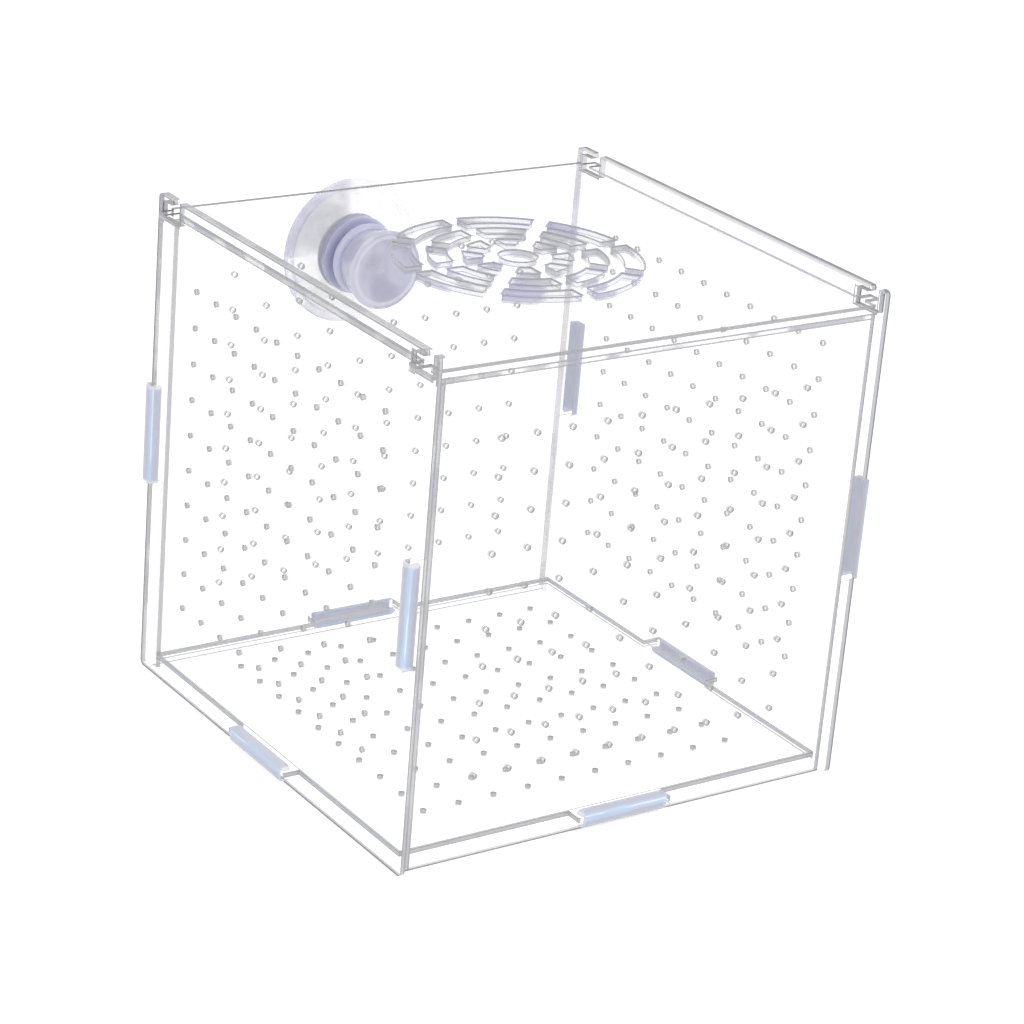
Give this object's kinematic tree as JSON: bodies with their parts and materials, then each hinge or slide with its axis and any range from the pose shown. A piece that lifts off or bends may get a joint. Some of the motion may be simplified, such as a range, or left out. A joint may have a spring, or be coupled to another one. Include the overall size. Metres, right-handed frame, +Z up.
{
  "type": "fish breeding box",
  "caption": "Clear cube of slotted sheets with a grid of water holes, slit strips on its tabs, a sliding lid with a round grille, and a suction cup on the back wall.",
  "frame": {"origin": "middle of the box between its walls, at the side walls' lower edges", "axes": "+Z up, +Y out of the back wall towards the aquarium's glass, where the suction cup's rim lies, +X to the right seen from the front"},
  "size_m": [0.1572, 0.1545, 0.15],
  "materials": {
    "clear_acrylic": "clear acrylic sheet, polished faces, laser-cut edges",
    "blue_vinyl": "pale blue translucent vinyl strip",
    "violet_rubber": "smooth translucent lavender-grey soft rubber"
  },
  "bodies": {
    "box": {"left_wall": "clear_acrylic", "right_wall": "clear_acrylic", "front_wall": "clear_acrylic", "back_wall": "clear_acrylic", "bottom_panel": "clear_acrylic", "clip_left_front": "blue_vinyl", "clip_left_back": "blue_vinyl", "clip_right_front": "blue_vinyl", "clip_right_back": "blue_vinyl", "clip_bottom_front": "blue_vinyl", "clip_bottom_back": "blue_vinyl", "clip_bottom_left": "blue_vinyl", "clip_bottom_right": "blue_vinyl", "suction_cup": "violet_rubber"},
    "lid": {"lid": "clear_acrylic"}
  },
  "joints": [
    {"name": "lid_slide", "type": "slide", "parent": "box", "child": "lid", "axis": [0, -1, 0], "range_m": [-0.0013, 0.0048]}
  ]
}
